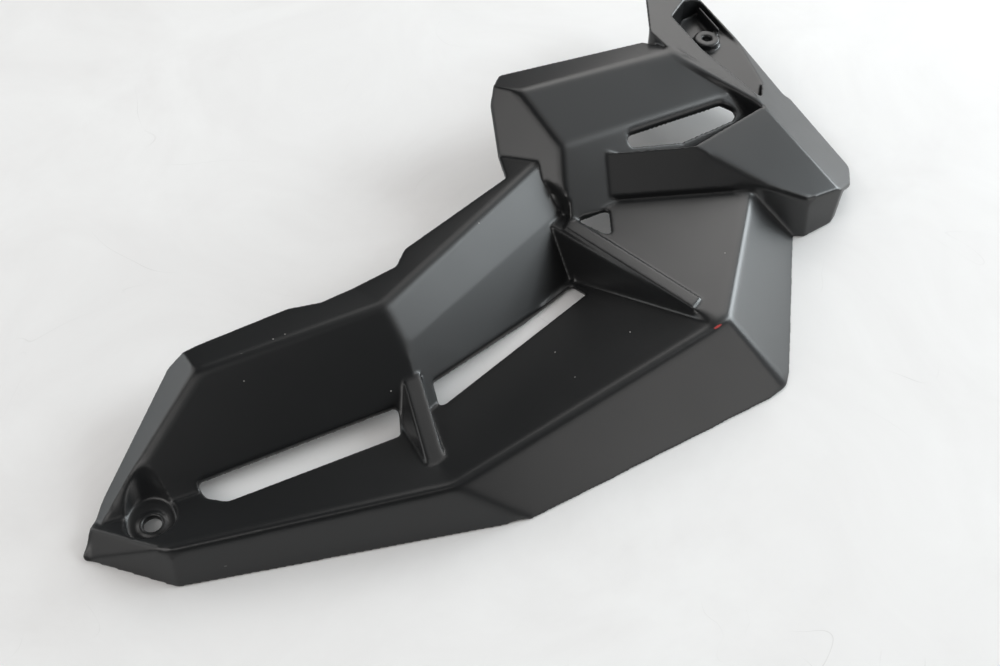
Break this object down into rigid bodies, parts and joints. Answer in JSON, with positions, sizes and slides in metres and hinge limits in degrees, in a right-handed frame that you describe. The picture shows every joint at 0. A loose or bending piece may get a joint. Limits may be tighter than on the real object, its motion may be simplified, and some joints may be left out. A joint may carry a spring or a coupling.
{
  "type": "motorcycle belly pan",
  "caption": "Right-hand motorcycle belly pan: a one-piece shell of flat facets with air slots, a standing step, a louver blade and a fixing arm.",
  "frame": {"origin": "centre of the bounding box in plan, on the plane the panel lies on", "axes": "+X runs forward along the level part of the hem, +Y up the side of the motorcycle, +Z outward from its side"},
  "size_m": [0.4426, 0.258, 0.0619],
  "materials": {
    "pan_plastic": "grained satin"
  },
  "bodies": {
    "root": {"belly_pan": "pan_plastic"}
  },
  "joints": []
}
